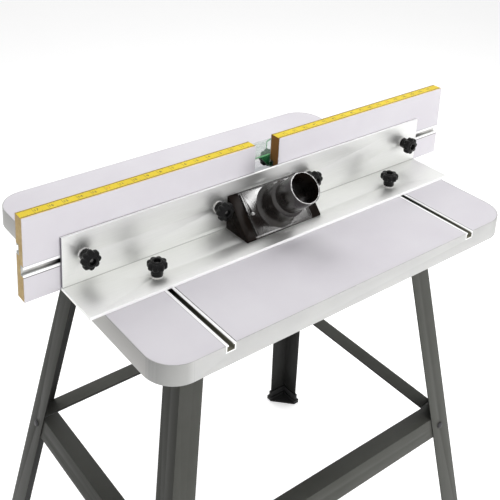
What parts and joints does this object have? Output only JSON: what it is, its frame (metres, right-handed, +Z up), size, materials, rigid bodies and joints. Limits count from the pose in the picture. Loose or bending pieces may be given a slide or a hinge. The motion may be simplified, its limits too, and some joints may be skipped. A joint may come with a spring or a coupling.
{
  "type": "router table",
  "caption": "Free-standing router table: laminated top on a splayed steel stand, with a sliding split fence, dust port and bit guard.",
  "frame": {"origin": "on the floor under the middle of the table top", "axes": "+Z up; the operator stands at -Y; work is fed along X"},
  "size_m": [0.971, 0.6256, 1.0048],
  "materials": {
    "edge_band": "satin PVC edging",
    "laminate": "fine matt laminate",
    "mdf": "bare fibreboard",
    "board_mdf": "bare fibreboard",
    "track": "clear anodised extrusion",
    "bracket": "brushed, clear anodised",
    "plate": "anodised plate",
    "ring": "moulded",
    "stand": "satin powder coat",
    "foot": "moulded rubber",
    "knob": "moulded phenolic",
    "fastener": "zinc plated",
    "black_fastener": "black oxide",
    "hood": "moulded, semi-gloss",
    "tape": "printed yellow steel tape",
    "guard": "green tinted clear sheet"
  },
  "bodies": {
    "stand": {"bottom_laminate": "laminate", "edge_band": "edge_band", "insert_ring_large": "ring", "insert_ring_small": "ring", "leg_front_left": "stand", "leg_front_right": "stand", "leg_rear_left": "stand", "leg_rear_right": "stand", "mitre_track": "track", "plate_screws": "fastener", "router_plate": "plate", "rubber_feet": "foot", "stand_bolts": "black_fastener", "stand_nuts": "fastener", "stretcher_front": "stand", "stretcher_left": "stand", "stretcher_rear": "stand", "stretcher_right": "stand", "table_core": "mdf", "table_screws": "fastener", "table_track_left": "track", "table_track_right": "track", "top_laminate": "laminate", "top_rail_front": "stand", "top_rail_left": "stand", "top_rail_rear": "stand", "top_rail_right": "stand", "track_screws": "fastener"},
    "fence": {"fence_bracket": "bracket", "dust_hood": "hood", "dust_pipe": "hood", "hood_screws": "fastener", "pipe_screws": "fastener", "clamp_bolts": "fastener", "clamp_washers": "fastener"},
    "right_board": {"board_core_right": "board_mdf", "board_laminates_right": "laminate", "board_track_rear_right": "track", "board_track_front_right": "track", "measuring_tape_right": "tape"},
    "left_board": {"board_core_left": "board_mdf", "board_laminates_left": "laminate", "board_track_rear_left": "track", "board_track_front_left": "track", "measuring_tape_left": "tape"},
    "guard": {"bit_guard": "guard", "guard_bolts": "fastener", "guard_washers": "fastener"},
    "board_knob_1": {"board_knob_1": "knob"},
    "board_knob_2": {"board_knob_2": "knob"},
    "board_knob_3": {"board_knob_3": "knob"},
    "board_knob_4": {"board_knob_4": "knob"},
    "fence_knob_right": {"fence_knob_right": "knob"},
    "fence_knob_left": {"fence_knob_left": "knob"},
    "guard_knob_inner": {"guard_knob_inner": "knob"},
    "guard_knob_outer": {"guard_knob_outer": "knob"}
  },
  "joints": [
    {"name": "fence_slide", "type": "slide", "parent": "stand", "child": "fence", "axis": [0, 1, 0], "range_m": [-0.08, 0.15]},
    {"name": "right_board_slide", "type": "slide", "parent": "fence", "child": "right_board", "axis": [1, 0, 0], "range_m": [-0.027, 0.06]},
    {"name": "left_board_slide", "type": "slide", "parent": "fence", "child": "left_board", "axis": [-1, 0, 0], "range_m": [-0.027, 0.06]},
    {"name": "guard_slide", "type": "slide", "parent": "left_board", "child": "guard", "axis": [-1, 0, 0], "range_m": [-0.006, 0.12]},
    {"name": "board_knob_1_turn", "type": "hinge", "parent": "fence", "child": "board_knob_1", "pos_m": [0.113, 0.0427, 0.91], "axis": [0, 1, 0], "continuous": true},
    {"name": "board_knob_2_turn", "type": "hinge", "parent": "fence", "child": "board_knob_2", "pos_m": [-0.101, 0.0427, 0.91], "axis": [0, 1, 0], "continuous": true},
    {"name": "board_knob_3_turn", "type": "hinge", "parent": "fence", "child": "board_knob_3", "pos_m": [0.382, 0.0427, 0.91], "axis": [0, 1, 0], "continuous": true},
    {"name": "board_knob_4_turn", "type": "hinge", "parent": "fence", "child": "board_knob_4", "pos_m": [-0.37, 0.0427, 0.91], "axis": [0, 1, 0], "continuous": true},
    {"name": "fence_knob_right_turn", "type": "hinge", "parent": "fence", "child": "fence_knob_right", "pos_m": [0.277, 0.0935, 0.8622], "axis": [0, 0, 1], "continuous": true},
    {"name": "fence_knob_left_turn", "type": "hinge", "parent": "fence", "child": "fence_knob_left", "pos_m": [-0.277, 0.0935, 0.8622], "axis": [0, 0, 1], "continuous": true},
    {"name": "guard_knob_inner_turn", "type": "hinge", "parent": "guard", "child": "guard_knob_inner", "pos_m": [-0.042, 0.0068, 0.943], "axis": [0, -1, 0], "continuous": true},
    {"name": "guard_knob_outer_turn", "type": "hinge", "parent": "guard", "child": "guard_knob_outer", "pos_m": [-0.098, 0.0068, 0.943], "axis": [0, -1, 0], "continuous": true}
  ]
}
